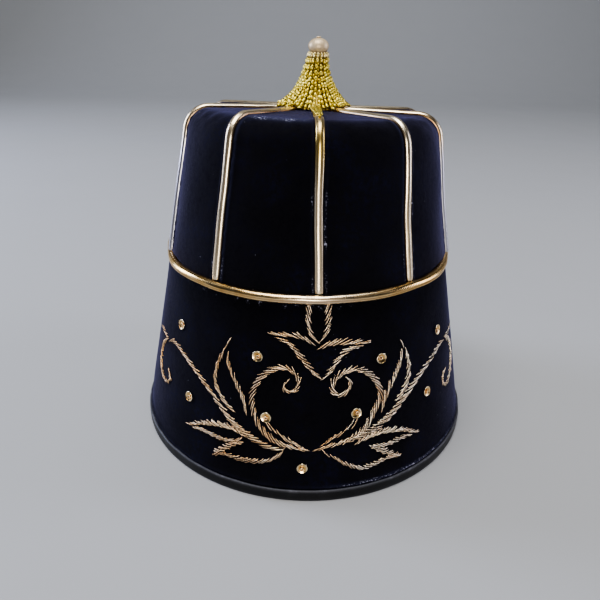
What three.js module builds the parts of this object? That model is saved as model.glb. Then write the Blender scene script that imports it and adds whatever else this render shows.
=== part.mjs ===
// A tall tapering court cap of velvet: crown, band, cord, rim binding, gold strips,
// spangles, and a bead tassel with a large bead on top. Millimetres, +Z up, front at -Y.
import * as THREE from 'three';

const gap = 0.3; // clearance between pieces that touch
const sides = 60; // facets round the cap

// The band is a cone. The crown carries it on, standing out a little more.
const coneFootRadius = 97.8;
const coneTaper = 0.193; // radius lost for each millimetre of height
const crownSwell = 1.05;
const wall = 2.6;
const shoulderRadius = 12;
const topHeight = 178.6; // of the velvet at the middle of the top
const jointHeight = 105.8; // crown above, band below
// The top isn't level: it falls by these shares of the way to the back and to the wearer's
// left, and rounds off behind its middle by backCurve for each square millimetre. It also
// stands a little to the wearer's left, by lean. Both come in over the upper part of the crown.
const topFall = { back: 0.064, left: 0.019, backCurve: 0.002, lean: 1.2, from: 130, full: 168 };
// Facets along the outline: round the shoulder and across the top.
const outsideSteps = { shoulder: 6, top: 3 };
const insideSteps = { shoulder: 3, top: 2 };
const ribSteps = { shoulder: 7, top: 3 };

const bindingRadius = 98;
const bindingThickness = 1.3;
const bindingHeight = 6.4;
const bindingEdge = 0.7; // rounding of its corners

const cordCentreRadius = 80.1;
const cordCentreHeight = 105.7;
const cordRadius = 2.25;
const cordSides = 8;
// From the sides round the back the cord lies deeper, in a channel of crown and band. The
// angles are degrees from the front where it begins to sink and where it lies deepest.
const cordTuck = { depth: 3, from: 52, full: 80 };
const channelWall = 2.2; // of crown and band behind the channel
const channelSteps = [0.15, 0.9, 1.6, 2.2, 2.6, 3.4, 4.4]; // heights above and below the joint

// Degrees from the front, positive to the wearer's left.
const ribTurns = [-70.5, -34.7, 3.5, 40, 75, 111, 144, 177.5, 211, 244];
const ribWidth = 4.2;
const ribRise = 1.5;
const ribBevel = 0.6;
const ribFootHeight = 108.35;
const ribInnerRadius = 9.5;

const tasselFootLean = -0.2; // sideways shift of the tassel at its foot and at its top
const tasselTopLean = 3;
const tasselSides = 28;
// The tassel's outline, from the hem up.
const tasselOutline = [
  { height: 180.7, radius: 19.9 },
  { height: 183.4, radius: 16.2 },
  { height: 187.6, radius: 12.1 },
  { height: 192.8, radius: 9 },
  { height: 199.4, radius: 6.6 },
  { height: 203.8, radius: 5.9 },
  { height: 206, radius: 5.3 },
];
const tasselUpright = { from: 184, full: 200 }; // heights over which it stops following the fall

const beadRadius = 5.2;
const beadHalfHeight = 3.9;
const beadHeight = 208.7;
const stopperRadius = 1.2;
const stopperHalfHeight = 0.4;
const beadFacets = { round: 18, up: 12 };
const stopperFacets = { round: 12, up: 6 };
const seatSteps = 4; // facets of the hollow that the large bead sits in

const spangleRadius = 2.75;
const spangleThickness = 0.6;
const spangleBossRadius = 1.1;
const spangleBossTopRadius = 0.8;
const spangleBossHeight = 1.5;
const spangleSides = 12;
// Where the spangles are sewn on the front of the band: the turn from the front in
// degrees, positive to the wearer's left, and the height above the rim.
const spanglePlaces = [
  { turn: -50.5, height: 76.3 },
  { turn: -41.9, height: 41.0 },
  { turn: -15.8, height: 75.0 },
  { turn: -11.9, height: 44.3 },
  { turn: 0.0, height: 18.5 },
  { turn: 17.0, height: 46.5 },
  { turn: 26.4, height: 72.5 },
  { turn: 46.5, height: 44.4 },
  { turn: 56.2, height: 73.6 },
];

const radians = THREE.MathUtils.degToRad;
const coneAngle = Math.atan(coneTaper);
const coneRadius = (height) => coneFootRadius - coneTaper * height;

// The same cone moved outward along its normal.
function offsetConeRadius(height, offset) {
  return coneRadius(height) + offset / Math.cos(coneAngle);
}

// How much smaller than cordCentreRadius the cord's ring is at an angle from the front.
function tuckAt(turn) {
  return cordTuck.depth * THREE.MathUtils.smoothstep(Math.abs(turn), cordTuck.from, cordTuck.full);
}

// Changes each point's distance from the cap's axis to newRadius(radius, height, tuck).
function reshaped(geometry, newRadius) {
  const place = geometry.attributes.position;
  for (let i = 0; i < place.count; i++) {
    const [x, y, z] = [place.getX(i), place.getY(i), place.getZ(i)];
    const radius = Math.hypot(x, y);
    if (radius > 0) {
      const turn = THREE.MathUtils.radToDeg(Math.atan2(x, -y));
      const scale = newRadius(radius, z, tuckAt(turn)) / radius;
      place.setXY(i, x * scale, y * scale);
    }
  }
  return geometry;
}

// Presses the cord's channel into a wall, from outside and from inside.
function channelled(geometry) {
  return reshaped(geometry, (radius, height, tuck) => {
    const outside = radius > coneRadius(height) + crownSwell / 2 - wall / 2;
    const reach = cordRadius + gap + (outside ? 0 : channelWall);
    const away = Math.abs(height - cordCentreHeight);
    if (away >= reach) return radius;
    return Math.min(radius, cordCentreRadius - tuck - Math.sqrt(reach ** 2 - away ** 2));
  });
}

// How far a spot on the crown is moved by the top's fall and lean.
function fallAt(spot) {
  const share = THREE.MathUtils.smoothstep(spot.z, topFall.from, topFall.full);
  const rounding = topFall.backCurve * Math.max(spot.y, 0) ** 2;
  const drop = topFall.back * spot.y + topFall.left * spot.x + rounding;
  return new THREE.Vector3(topFall.lean, 0, -drop).multiplyScalar(share);
}

// Moves a piece's points by fallOf, taken where they lie once the piece is turned about
// the cap's axis.
function settled(geometry, fallOf = fallAt, turn = 0) {
  const axis = new THREE.Vector3(0, 0, 1);
  const place = geometry.attributes.position;
  for (let i = 0; i < place.count; i++) {
    const spot = new THREE.Vector3().fromBufferAttribute(place, i).applyAxisAngle(axis, turn);
    spot.add(fallOf(spot)).applyAxisAngle(axis, -turn);
    place.setXYZ(i, spot.x, spot.y, spot.z);
  }
  return geometry;
}

// The middle of the shoulder's arc, which touches the cone and the flat top.
const shoulderHeight = topHeight - shoulderRadius;
const shoulderMiddle = coneRadius(shoulderHeight) + crownSwell - shoulderRadius / Math.cos(coneAngle);

// The crown's outline in the plane of one strip, moved outward by offset:
// up the cone by way of footHeights, round the shoulder and in over the top to innerRadius.
function crownOutline(offset, footHeights, innerRadius, steps) {
  const outline = footHeights.map((height) => (
    new THREE.Vector2(offsetConeRadius(height, offset) + crownSwell, height)
  ));
  for (let step = 0; step <= steps.shoulder; step++) {
    const angle = THREE.MathUtils.lerp(coneAngle, Math.PI / 2, step / steps.shoulder);
    const reach = shoulderRadius + offset;
    outline.push(new THREE.Vector2(
      shoulderMiddle + reach * Math.cos(angle),
      shoulderHeight + reach * Math.sin(angle),
    ));
  }
  for (let step = 1; step <= steps.top; step++) {
    const radius = THREE.MathUtils.lerp(shoulderMiddle, innerRadius, step / steps.top);
    outline.push(new THREE.Vector2(radius, topHeight + offset));
  }
  return outline;
}

function material(color, roughness, metalness) {
  return new THREE.MeshStandardMaterial({ color, roughness, metalness });
}

function velvet() {
  return material(0x0b0c1c, 0.9, 0);
}

function goldStrip() {
  return material(0xe6d3a8, 0.3, 0.8);
}

function pearl() {
  return material(0xe9d9bd, 0.25, 0.3);
}

function piece(name, geometry, surface) {
  const mesh = new THREE.Mesh(geometry, surface);
  mesh.name = name;
  return mesh;
}

// LatheGeometry turns about +Y: this stands it up about +Z. An outline that runs
// anticlockwise, seen with the axis on the left, gives faces that point out.
function turned(outline, segments) {
  return new THREE.LatheGeometry(outline, segments).rotateX(Math.PI / 2);
}

function closed(outline) {
  return [...outline, outline[0].clone()];
}

function points(rows) {
  return rows.map(([radius, height]) => new THREE.Vector2(radius, height));
}

function crown() {
  const footHeights = channelSteps.map((step) => jointHeight + step);
  const outside = crownOutline(0, footHeights, 0, outsideSteps);
  const inside = crownOutline(-wall, footHeights, 0, insideSteps).reverse();
  const shell = turned([...inside, ...outside], sides);
  return piece('crown', settled(channelled(shell)), velvet());
}

function band() {
  const footHeight = bindingThickness + gap;
  const headHeights = channelSteps.map((step) => jointHeight - step);
  const pressedRadius = bindingRadius - bindingThickness - gap; // under the binding
  const bindingHead = bindingHeight + gap;
  const outline = points([
    [offsetConeRadius(footHeight, -wall), footHeight],
    [pressedRadius, footHeight],
    [pressedRadius, bindingHead],
    ...headHeights.map((height) => [coneRadius(height), height]).reverse(),
    ...headHeights.map((height) => [offsetConeRadius(height, -wall), height]),
  ]);
  return piece('band', channelled(turned(closed(outline), sides)), velvet());
}

function rimBinding() {
  const outer = bindingRadius;
  const outerBack = bindingRadius - bindingThickness;
  const innerBack = offsetConeRadius(bindingThickness, -wall - gap);
  const innerLean = coneTaper * (bindingHeight - bindingThickness);
  const inner = innerBack - bindingThickness;
  const outline = points([
    [inner, bindingEdge],
    [inner + bindingEdge, 0],
    [outer - bindingEdge, 0],
    [outer, bindingEdge],
    [outer, bindingHeight - bindingEdge],
    [outer - bindingEdge, bindingHeight],
    [outerBack, bindingHeight],
    [outerBack, bindingThickness],
    [innerBack, bindingThickness],
    [innerBack - innerLean, bindingHeight],
    [inner - innerLean, bindingHeight],
  ]);
  return piece('rim_binding', turned(closed(outline), sides), material(0x35353a, 0.45, 0));
}

function ringPiping() {
  const outline = [];
  for (let step = 0; step < cordSides; step++) {
    const angle = 2 * Math.PI * (step + 0.5) / cordSides;
    outline.push(new THREE.Vector2(
      cordCentreRadius + cordRadius * Math.cos(angle),
      cordCentreHeight + cordRadius * Math.sin(angle),
    ));
  }
  const ring = turned(closed(outline), sides);
  return piece('ring_piping', reshaped(ring, (radius, height, tuck) => radius - tuck), goldStrip());
}

// A strip is its side outline, which follows the crown, pushed through its width
// with bevelled edges.
function ribGeometry() {
  const under = crownOutline(gap, [ribFootHeight], ribInnerRadius, ribSteps);
  const over = crownOutline(gap + ribRise, [ribFootHeight], ribInnerRadius, ribSteps);
  const side = new THREE.Shape([...under, ...over.reverse()]);
  const geometry = new THREE.ExtrudeGeometry(side, {
    depth: ribWidth - 2 * ribBevel,
    bevelEnabled: true,
    bevelThickness: ribBevel,
    bevelSize: ribBevel,
    bevelOffset: -ribBevel,
    bevelSegments: 1,
  });
  geometry.translate(0, 0, ribBevel - ribWidth / 2);
  return geometry.rotateX(Math.PI / 2);
}

function ribs() {
  const group = new THREE.Group();
  ribTurns.forEach((turn, index) => {
    const angle = radians(turn - 90);
    const geometry = settled(ribGeometry(), fallAt, angle);
    const rib = piece(`rib_${String(index + 1).padStart(2, '0')}`, geometry, goldStrip());
    rib.rotation.z = angle;
    group.add(rib);
  });
  return group;
}

// The tassel's solid is turned straight and then leaned to the side, a little more
// towards its top. Its foot lies on the sloping top, and its upper part stands upright.
// Its top is hollowed to seat the large bead.
function tassel() {
  const seat = [];
  const rim = tasselOutline[tasselOutline.length - 1];
  const rimAngle = Math.asin((beadHeight - rim.height) / (beadHalfHeight + gap));
  for (let step = 0; step <= seatSteps; step++) {
    const angle = THREE.MathUtils.lerp(Math.PI / 2, rimAngle, step / seatSteps);
    seat.push(new THREE.Vector2(
      (beadRadius + gap) * Math.cos(angle),
      beadHeight - (beadHalfHeight + gap) * Math.sin(angle),
    ));
  }
  seat[0].x = 0;
  const foot = tasselOutline[0];
  const outline = [
    ...points([[0, foot.height]]),
    ...tasselOutline.map((row) => new THREE.Vector2(row.radius, row.height)),
    ...seat.reverse(),
  ];
  const geometry = turned(outline, tasselSides);
  const place = geometry.attributes.position;
  for (let i = 0; i < place.count; i++) {
    const share = (place.getZ(i) - foot.height) / (rim.height - foot.height);
    const lean = THREE.MathUtils.lerp(tasselFootLean, tasselTopLean, Math.min(share, 1));
    place.setX(i, place.getX(i) + lean);
  }
  const { from, full } = tasselUpright;
  const footFall = (spot) => (
    fallAt(spot).multiplyScalar(1 - THREE.MathUtils.smoothstep(spot.z, from, full))
  );
  return piece('tassel', settled(geometry, footFall), material(0xd9b44a, 0.35, 0.7));
}

function finial() {
  const group = new THREE.Group();
  const bead = new THREE.SphereGeometry(1, beadFacets.round, beadFacets.up).rotateX(Math.PI / 2);
  bead.scale(beadRadius, beadRadius, beadHalfHeight);
  const stopper = new THREE.SphereGeometry(1, stopperFacets.round, stopperFacets.up).rotateX(Math.PI / 2);
  stopper.scale(stopperRadius, stopperRadius, stopperHalfHeight);
  stopper.translate(0, 0, beadHalfHeight + gap + stopperHalfHeight);
  group.add(piece('finial_bead', bead, pearl()));
  group.add(piece('finial_stopper', stopper, pearl()));
  group.position.set(tasselTopLean, 0, beadHeight);
  return group;
}

// A spangle is a thin disc with a raised round boss, turned about its own axis.
function spangleGeometry() {
  return turned(points([
    [0, 0],
    [spangleRadius, 0],
    [spangleRadius, spangleThickness],
    [spangleBossRadius, spangleThickness],
    [spangleBossTopRadius, spangleBossHeight],
    [0, spangleBossHeight],
  ]), spangleSides);
}

// Each spangle lies on the cone, with its axis along the cone's normal, on an arm that
// turns about the cap. The back of the band carries the front's pattern again.
function spangles() {
  const group = new THREE.Group();
  for (const [face, faceTurn] of [['front', 0], ['back', 180]]) {
    spanglePlaces.forEach(({ turn, height }, index) => {
      const disc = piece(`spangle_${face}_${index + 1}`, spangleGeometry(), goldStrip());
      disc.position.set(offsetConeRadius(height, gap), 0, height);
      disc.rotation.y = Math.PI / 2 - coneAngle;
      const arm = new THREE.Group();
      arm.rotation.z = radians(faceTurn + turn - 90);
      arm.add(disc);
      group.add(arm);
    });
  }
  return group;
}

const cap = new THREE.Group();
cap.add(crown(), band(), ringPiping(), rimBinding(), ribs(), tassel(), finial(), spangles());

export default cap;
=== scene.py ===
import math

import bpy
import numpy as np
from mathutils import Matrix, Vector


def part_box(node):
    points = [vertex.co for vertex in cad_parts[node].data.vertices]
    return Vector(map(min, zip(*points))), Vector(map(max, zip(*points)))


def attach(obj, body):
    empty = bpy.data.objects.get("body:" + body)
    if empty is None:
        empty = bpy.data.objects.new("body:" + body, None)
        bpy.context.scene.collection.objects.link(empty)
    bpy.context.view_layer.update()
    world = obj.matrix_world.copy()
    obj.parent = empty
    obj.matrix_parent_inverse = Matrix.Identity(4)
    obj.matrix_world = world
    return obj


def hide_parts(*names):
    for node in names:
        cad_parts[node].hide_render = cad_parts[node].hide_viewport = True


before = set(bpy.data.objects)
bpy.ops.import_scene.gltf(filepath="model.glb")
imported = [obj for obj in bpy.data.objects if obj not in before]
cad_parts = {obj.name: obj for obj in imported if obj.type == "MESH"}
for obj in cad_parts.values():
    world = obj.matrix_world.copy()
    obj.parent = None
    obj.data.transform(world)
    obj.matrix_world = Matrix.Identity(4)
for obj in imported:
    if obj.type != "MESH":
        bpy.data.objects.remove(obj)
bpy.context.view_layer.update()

mm = 0.001

# The cap's form in millimetres, as the frame has it: front at -Y, +X on the wearer's left.
cap = {
    "footRadius": 97.8,  # of the velvet cone at the height of the table
    "taper": 0.193,  # radius lost for each mm of height
    "wall": 2.6,
    "jointHeight": 105.8,  # crown above, band below
    "gap": 0.15,  # half the gap between crown and band
    "swell": 1.05,  # how far the crown stands out of the cone
    "shoulderRadius": 12.0,
    "topHeight": 178.6,  # of the velvet at the middle of the top
    # How the top slopes, rounds off behind its middle and leans to the wearer's left.
    "fall": {"back": 0.064, "left": 0.019, "backCurve": 0.002, "lean": 1.2, "from": 130, "full": 168},
    "cord": {"centreRadius": 80.1, "height": 105.7, "radius": 2.25},
    "tuck": {"depth": 3.0, "from": 52, "full": 80},  # how much deeper the cord lies from the sides round
    "channelWall": 2.2,
}
coneAngle = math.atan(cap["taper"])
shoulderHeight = cap["topHeight"] - cap["shoulderRadius"]

# The gold strips: degrees from the front where each begins at the cord, and where it passes
# the shoulder.
stripFoot = np.array([-69.0, -34.1, 4.4, 39.6, 75.0, 111.0, 144.0, 177.5, 211.0, 244.0])
stripHead = np.array([-72.0, -34.2, 2.6, 40.4, 75.0, 111.0, 144.0, 177.5, 211.0, 244.0])


# The camera stands where the photo was taken from.
view = {
    "place": (0.0, -327.26, 227.46),
    "pitch": 26.25,  # degrees down
    "yaw": -0.665,
    "roll": 1.129,
    "lens": 36.0,
    "sensor": 36.0,
}


def makeCamera():
    turned = Matrix.Identity(4)
    for angle, axis in ((-view["yaw"], "Z"), (90 - view["pitch"], "X"), (view["roll"], "Z")):
        turned = turned @ Matrix.Rotation(math.radians(angle), 4, axis)
    data = bpy.data.cameras.new("photoCamera")
    data.lens = view["lens"]
    data.sensor_width = view["sensor"]
    data.sensor_fit = "HORIZONTAL"
    data.clip_start = 0.01
    camera = bpy.data.objects.new("photoCamera", data)
    camera.matrix_world = Matrix.Translation(Vector(view["place"]) * mm) @ turned
    bpy.context.scene.collection.objects.link(camera)
    bpy.context.scene.camera = camera


makeCamera()
print("camera placed")


# Shader maths: a wrapped socket, so that a sum on it adds a Math node.
class Wire:
    def __init__(self, finish, socket):
        self.finish = finish
        self.socket = socket

    def sum(self, operation, first, second=0.0):
        return self.finish.node("ShaderNodeMath", {"operation": operation}, {0: first, 1: second})

    def __add__(self, other):
        return self.sum("ADD", self, other)

    def __sub__(self, other):
        return self.sum("SUBTRACT", self, other)

    def __rsub__(self, other):
        return self.sum("SUBTRACT", other, self)

    def __mul__(self, other):
        return self.sum("MULTIPLY", self, other)

    def __truediv__(self, other):
        return self.sum("DIVIDE", self, other)

    def __abs__(self):
        return self.sum("ABSOLUTE", self)

    __radd__ = __add__
    __rmul__ = __mul__


class Finish:
    def __init__(self, name, **fixed):
        self.material = bpy.data.materials.new(name)
        self.material.use_nodes = True
        self.tree = self.material.node_tree
        self.shader = self.tree.nodes["Principled BSDF"]
        self.place = self.node("ShaderNodeTexCoord", {}, {}, "Object")
        self.set(**fixed)

    def set(self, **sockets):  # Base_Color=... goes to the shader's Base Color
        for key, value in sockets.items():
            self.feed(self.shader.inputs[key.replace("_", " ")], value)

    def feed(self, socket, value):
        if isinstance(value, Wire):
            self.tree.links.new(value.socket, socket)
        elif isinstance(value, tuple) and socket.type == "RGBA":
            socket.default_value = (*value, 1.0)
        else:
            socket.default_value = value

    def node(self, kind, settings, sockets, output=0):
        made = self.tree.nodes.new(kind)
        for key, value in settings.items():
            if key == "stops":
                self.setStops(made.color_ramp, value)
            else:
                setattr(made, key, value)
        for key, value in sockets.items():
            self.feed(made.inputs[key], value)
        return Wire(self, made.outputs[output])

    def setStops(self, ramp, stops):
        while len(ramp.elements) < len(stops):
            ramp.elements.new(1.0)
        for element, (position, colour) in zip(ramp.elements, stops):
            element.position = position
            element.color = (*colour, 1.0)

    def mark(self, name):  # a number that the mesh carries at each point
        return self.node("ShaderNodeAttribute", {"attribute_name": name}, {}, "Fac")

    def noise(self, size, detail=2.0, roughness=0.5):  # size in mm
        sockets = {
            "Vector": self.place, "Scale": 1 / (size * mm), "Detail": detail, "Roughness": roughness,
        }
        return self.node("ShaderNodeTexNoise", {}, sockets, "Fac")

    def patches(self, size, detail, low, high, roughness=0.5):  # noise from low to high as 0 to 1
        return self.between(self.noise(size, detail, roughness), low, high)

    def streaks(self, x, y, z, scale, detail):  # noise stretched along a piece
        place = self.node("ShaderNodeCombineXYZ", {}, {"X": x, "Y": y, "Z": z})
        sockets = {"Vector": place, "Scale": scale, "Detail": detail}
        return self.node("ShaderNodeTexNoise", {}, sockets, "Fac")

    def cells(self, size, feature="F1"):  # size in mm
        sockets = {"Vector": self.place, "Scale": 1 / (size * mm)}
        return self.node("ShaderNodeTexVoronoi", {"feature": feature}, sockets, "Distance")

    def ramp(self, value, stops):
        return self.node("ShaderNodeValToRGB", {"stops": stops}, {"Fac": value}, "Color")

    def between(self, value, low, high, start=0.0, end=1.0):  # low..high becomes start..end
        settings = {"clamp": True, "interpolation_type": "SMOOTHSTEP"}
        sockets = {"Value": value, "From Min": low, "From Max": high, "To Min": start, "To Max": end}
        return self.node("ShaderNodeMapRange", settings, sockets)

    def mix(self, share, first, second):
        settings = {"data_type": "RGBA", "clamp_factor": True}
        return self.node("ShaderNodeMix", settings, {0: share, 6: first, 7: second}, 2)

    def bump(self, height, depth, strength=1.0, over=None):  # depth in mm
        sockets = {"Height": height, "Distance": depth * mm, "Strength": strength}
        if over:
            sockets["Normal"] = over
        return self.node("ShaderNodeBump", {}, sockets, "Normal")

    def complete(self, colour, roughness, normal):  # roughness: what between takes
        self.set(Base_Color=colour, Roughness=self.between(*roughness), Normal=normal)
        return self


# Shapes, in millimetres until a piece is made.
def unit(vectors):
    return vectors / np.linalg.norm(vectors, axis=-1, keepdims=True)


def smoothStep(values, low, high):
    share = np.clip((values - low) / (high - low), 0, 1)
    return share * share * (3 - 2 * share)


def bell(values, middle, wide):
    return np.exp(-(((values - middle) / wide) ** 2))


def evenTurns(count):  # round the whole cap, in degrees
    return np.linspace(0, 360, count, endpoint=False)


def turnsFrom(turns, middle):  # degrees from middle, the short way round
    return (turns - middle + 180) % 360 - 180


def towards(turns, middle, outer, inner):  # 1 at the turn in the middle, by the cosines of the rest
    return smoothStep(np.cos(np.radians(turns - middle)), outer, inner)


def waves(points, high, length, seed, count=7):  # soft seamless unevenness, about -high to high
    rng = np.random.default_rng(seed)
    lengths = length * rng.uniform(0.7, 1.5, (count, 1))
    ways = 2 * np.pi * unit(rng.normal(size=(count, 3))) / lengths
    phases = rng.uniform(0, 2 * np.pi, count)
    return high * (np.cos(points @ ways.T + phases).sum(-1) / math.sqrt(count))


def distances(points):  # mm along each path to each of its points
    steps = np.linalg.norm(np.diff(points, axis=-2), axis=-1)
    return np.concatenate([np.zeros((*steps.shape[:-1], 1)), np.cumsum(steps, -1)], -1)


def turnOf(x, y):  # degrees from the front
    return np.degrees(np.arctan2(x, -y))


def puckered(points, fine, broad, low, high):  # two waves together, from low to high as 0 to 1
    return smoothStep(waves(points, *fine) + waves(points, *broad), low, high)


def tapered(count, shares):  # 1 for each ring, and these shares for the first and last ones
    sizes = np.ones(count)
    for k, share in enumerate(shares):
        sizes[[k, -1 - k]] = share
    return sizes


def skin(grid, loop):  # grid: part, ring, side, xyz; the sides close on themselves
    index = np.arange(grid[..., 0].size).reshape(grid.shape[:-1])
    here = index if loop else index[:, :-1]
    there = np.roll(index, -1, 1) if loop else index[:, 1:]
    corners = [here, there, np.roll(there, -1, 2), np.roll(here, -1, 2)]
    faces = np.stack(corners, -1).reshape(-1, 4).tolist()
    if not loop:
        faces += index[:, 0].tolist() + index[:, -1, ::-1].tolist()
    return faces


def sweep(paths, outward, section, loop=False):  # paths: part, ring, xyz; section: part, ring, side, xy
    if loop:
        ahead = unit(np.roll(paths, -1, 1) - np.roll(paths, 1, 1))
    else:
        ahead = unit(np.gradient(paths, axis=1))
    across = unit(np.cross(ahead, outward))
    up = np.cross(across, ahead)
    sideways = section[..., :1] * across[:, :, None]
    return paths[:, :, None] + sideways + section[..., 1:] * up[:, :, None]


def roundSection(radii, sides):  # radii: part, ring
    angles = 2 * np.pi * np.arange(sides) / sides
    circle = np.stack([np.cos(angles), np.sin(angles)], -1)
    return np.asarray(radii)[..., None, None] * circle


def around(radius, turns, height):  # degrees from the front, positive to +X
    angles = np.radians(turns)
    parts = [radius * np.sin(angles), -radius * np.cos(angles), height + 0 * angles]
    return np.stack(np.broadcast_arrays(*parts), -1)


def revolve(profile, turns):  # profile: radius and height, down the outside
    profile = np.asarray(profile, float)
    return around(profile[:, :1], turns, profile[:, 1:])[None]


def makePiece(name, grid, finishes, replaced=(), marks=None, loop=False, innerFrom=None):
    mesh = bpy.data.meshes.new(name)
    faces = skin(grid, loop)
    mesh.from_pydata((grid.reshape(-1, 3) * mm).tolist(), [], faces)
    for mark, values in (marks or {}).items():
        numbers = np.broadcast_to(values, grid.shape[:-1]).ravel().astype(np.float32)
        mesh.attributes.new(mark, "FLOAT", "POINT").data.foreach_set("value", numbers)
    for finish in finishes:
        mesh.materials.append(finish.material)
    if innerFrom is not None:  # rings from here on wear the second finish
        ring = np.arange(len(faces)) // grid.shape[2]
        inner = ring >= innerFrom
        if not loop:
            inner[-2] = False  # the cap on the first ring
        mesh.polygons.foreach_set("material_index", inner.astype(np.int32))
    mesh.shade_smooth()
    mesh.set_sharp_from_angle(angle=math.radians(50))
    piece = bpy.data.objects.new(name, mesh)
    bpy.context.scene.collection.objects.link(piece)
    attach(piece, "root")
    if replaced:
        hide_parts(*replaced)
    return piece


# Places on the cap.
def coneRadius(height):
    return cap["footRadius"] - cap["taper"] * height


def outwardAt(turns, elevation):
    return around(np.cos(elevation), turns, np.sin(elevation))


crownConeLength = (
    shoulderHeight + cap["shoulderRadius"] * math.sin(coneAngle) - cap["jointHeight"] - cap["gap"]
) / math.cos(coneAngle)
crownArcLength = cap["shoulderRadius"] * (math.pi / 2 - coneAngle)
crownMiddle = coneRadius(shoulderHeight) + cap["swell"] - cap["shoulderRadius"] / math.cos(coneAngle)
crownLength = crownConeLength + crownArcLength + crownMiddle


def crownOutline(along):  # mm up the crown from the joint: radius, height, way the surface faces
    foot = cap["jointHeight"] + cap["gap"]
    arc = cap["shoulderRadius"]
    faces = np.clip(coneAngle + (along - crownConeLength) / arc, coneAngle, math.pi / 2)
    onCone = along <= crownConeLength
    onArc = along < crownConeLength + crownArcLength
    top = np.maximum(crownLength - along, 0)
    radius = np.where(onArc, crownMiddle + arc * np.cos(faces), top)
    height = np.where(onArc, shoulderHeight + arc * np.sin(faces), cap["topHeight"])
    radius = np.where(onCone, coneRadius(foot) + cap["swell"] - along * math.sin(coneAngle), radius)
    height = np.where(onCone, foot + along * math.cos(coneAngle), height)
    return radius, height, faces


def settled(points, share=1.0):  # moved by the slope and lean of the top
    fall = cap["fall"]
    x, y, z = (points[..., k] for k in range(3))
    drop = fall["back"] * y + fall["left"] * x + fall["backCurve"] * np.maximum(y, 0) ** 2
    shift = np.stack([fall["lean"] + 0 * drop, 0 * drop, -drop], -1)
    return points + (smoothStep(z, fall["from"], fall["full"]) * share)[..., None] * shift


def tuckAt(turns):  # how much deeper the cord lies at the sides and behind
    tuck = cap["tuck"]
    return tuck["depth"] * smoothStep(np.abs(turnsFrom(turns, 0)), tuck["from"], tuck["full"])


def channelled(points, turns, behind=0.0):  # with the cord's channel pressed into a wall
    cord = cap["cord"]
    reach = cord["radius"] + 0.1 + behind
    away = np.abs(points[..., 2] - cord["height"])
    radius = np.hypot(points[..., 0], points[..., 1])
    deepest = cord["centreRadius"] - tuckAt(turns) - np.sqrt(np.maximum(reach**2 - away**2, 0))
    scale = np.where(away < reach, np.minimum(deepest / radius, 1), 1)
    return points * np.stack([scale, scale, np.ones_like(scale)], -1)


def stripTurns(along):  # degrees from the front of each strip, so many mm up the crown
    rise = np.clip(np.asarray(along) / crownConeLength, 0, 1)[..., None]
    return stripFoot + (stripHead - stripFoot) * rise


def nearStrip(turns, along):  # the nearest strip, counted from 0, and the degrees from it
    apart = turnsFrom(np.asarray(turns)[..., None], stripTurns(along))
    nearest = np.abs(apart).argmin(-1)
    return nearest, np.take_along_axis(apart, nearest[..., None], -1)[..., 0]


# Velvet.
velvetLook = {
    "ground": (0.0020, 0.0017, 0.0034),
    "napShade": (0.0050, 0.0054, 0.0170),
    # painted sheen on the velvet's pile
    "napSheenColour": (0.034, 0.038, 0.085),
    # painted glints on the velvet's pile
    "napGlintColour": (0.44, 0.44, 0.56),
    "lint": (0.26, 0.26, 0.32),
    "sheen": (0.42, 0.40, 0.86),
    "pile": 0.32,  # mm between tufts
}


def makeVelvetFinish(name, sheen):
    look = velvetLook
    finish = Finish(
        name, Specular_IOR_Level=0.10, Sheen_Weight=sheen, Sheen_Roughness=0.34, Sheen_Tint=look["sheen"],
    )
    mottle = finish.patches(2.2, 4.0, 0.35, 0.75, 0.7)
    ground = finish.mix(finish.patches(24, 3.0, 0.42, 0.68) * mottle, look["ground"], look["napShade"])
    tufts = finish.patches(0.45, 2.0, 0.46, 0.66)
    # Painted sheen and painted glints: two marks lighten the velvet where light caught its pile, beside the
    # strips, along the shoulder's crease and over the binding.
    soft = finish.mix(finish.mark("nap") * (0.6 + 0.4 * tufts), ground, look["napSheenColour"])
    glintSpots = finish.mark("fleck") * finish.patches(0.8, 3.0, 0.52, 0.62, 0.65)
    glinted = finish.mix(finish.between(glintSpots, 0.10, 0.55), soft, look["napGlintColour"])
    specks = finish.between(finish.cells(5.5), 0.045, 0.02) * finish.patches(30, 2.0, 0.5, 0.6)
    colour = finish.mix(specks, glinted, look["lint"])
    pile = finish.noise(look["pile"], 1.0)
    crushed = finish.noise(3.5, 2.0)
    normal = finish.bump(pile, 0.12, 0.7, finish.bump(crushed, 0.25, 0.5))
    return finish.complete(colour, (mottle, 0.0, 1.0, 0.85, 1.0), normal)


def makeClothFinish():  # the plain dark cloth inside
    finish = Finish("shellCloth", Specular_IOR_Level=0.2, Sheen_Weight=0.1)
    thread = finish.noise(0.7, 2.0)
    soil = finish.patches(18, 3.0, 0.35, 0.7)
    colour = finish.mix(soil, (0.010, 0.010, 0.013), (0.020, 0.019, 0.022))
    return finish.complete(colour, (thread, 0.3, 0.7, 0.8, 0.95), finish.bump(thread, 0.15, 0.6))


shellCloth = makeClothFinish()


def makeShell(name, node, sheen, outside, inside, nap, fleck, loop=False):  # velvet over cloth
    bare = np.zeros(inside.shape[:-1])
    marks = {"nap": np.concatenate([nap, bare]), "fleck": np.concatenate([fleck, bare])}
    makePiece(
        name, np.concatenate([outside, inside])[None], [makeVelvetFinish(name, sheen), shellCloth],
        [node], marks, loop, innerFrom=len(outside) - 1,
    )


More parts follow.
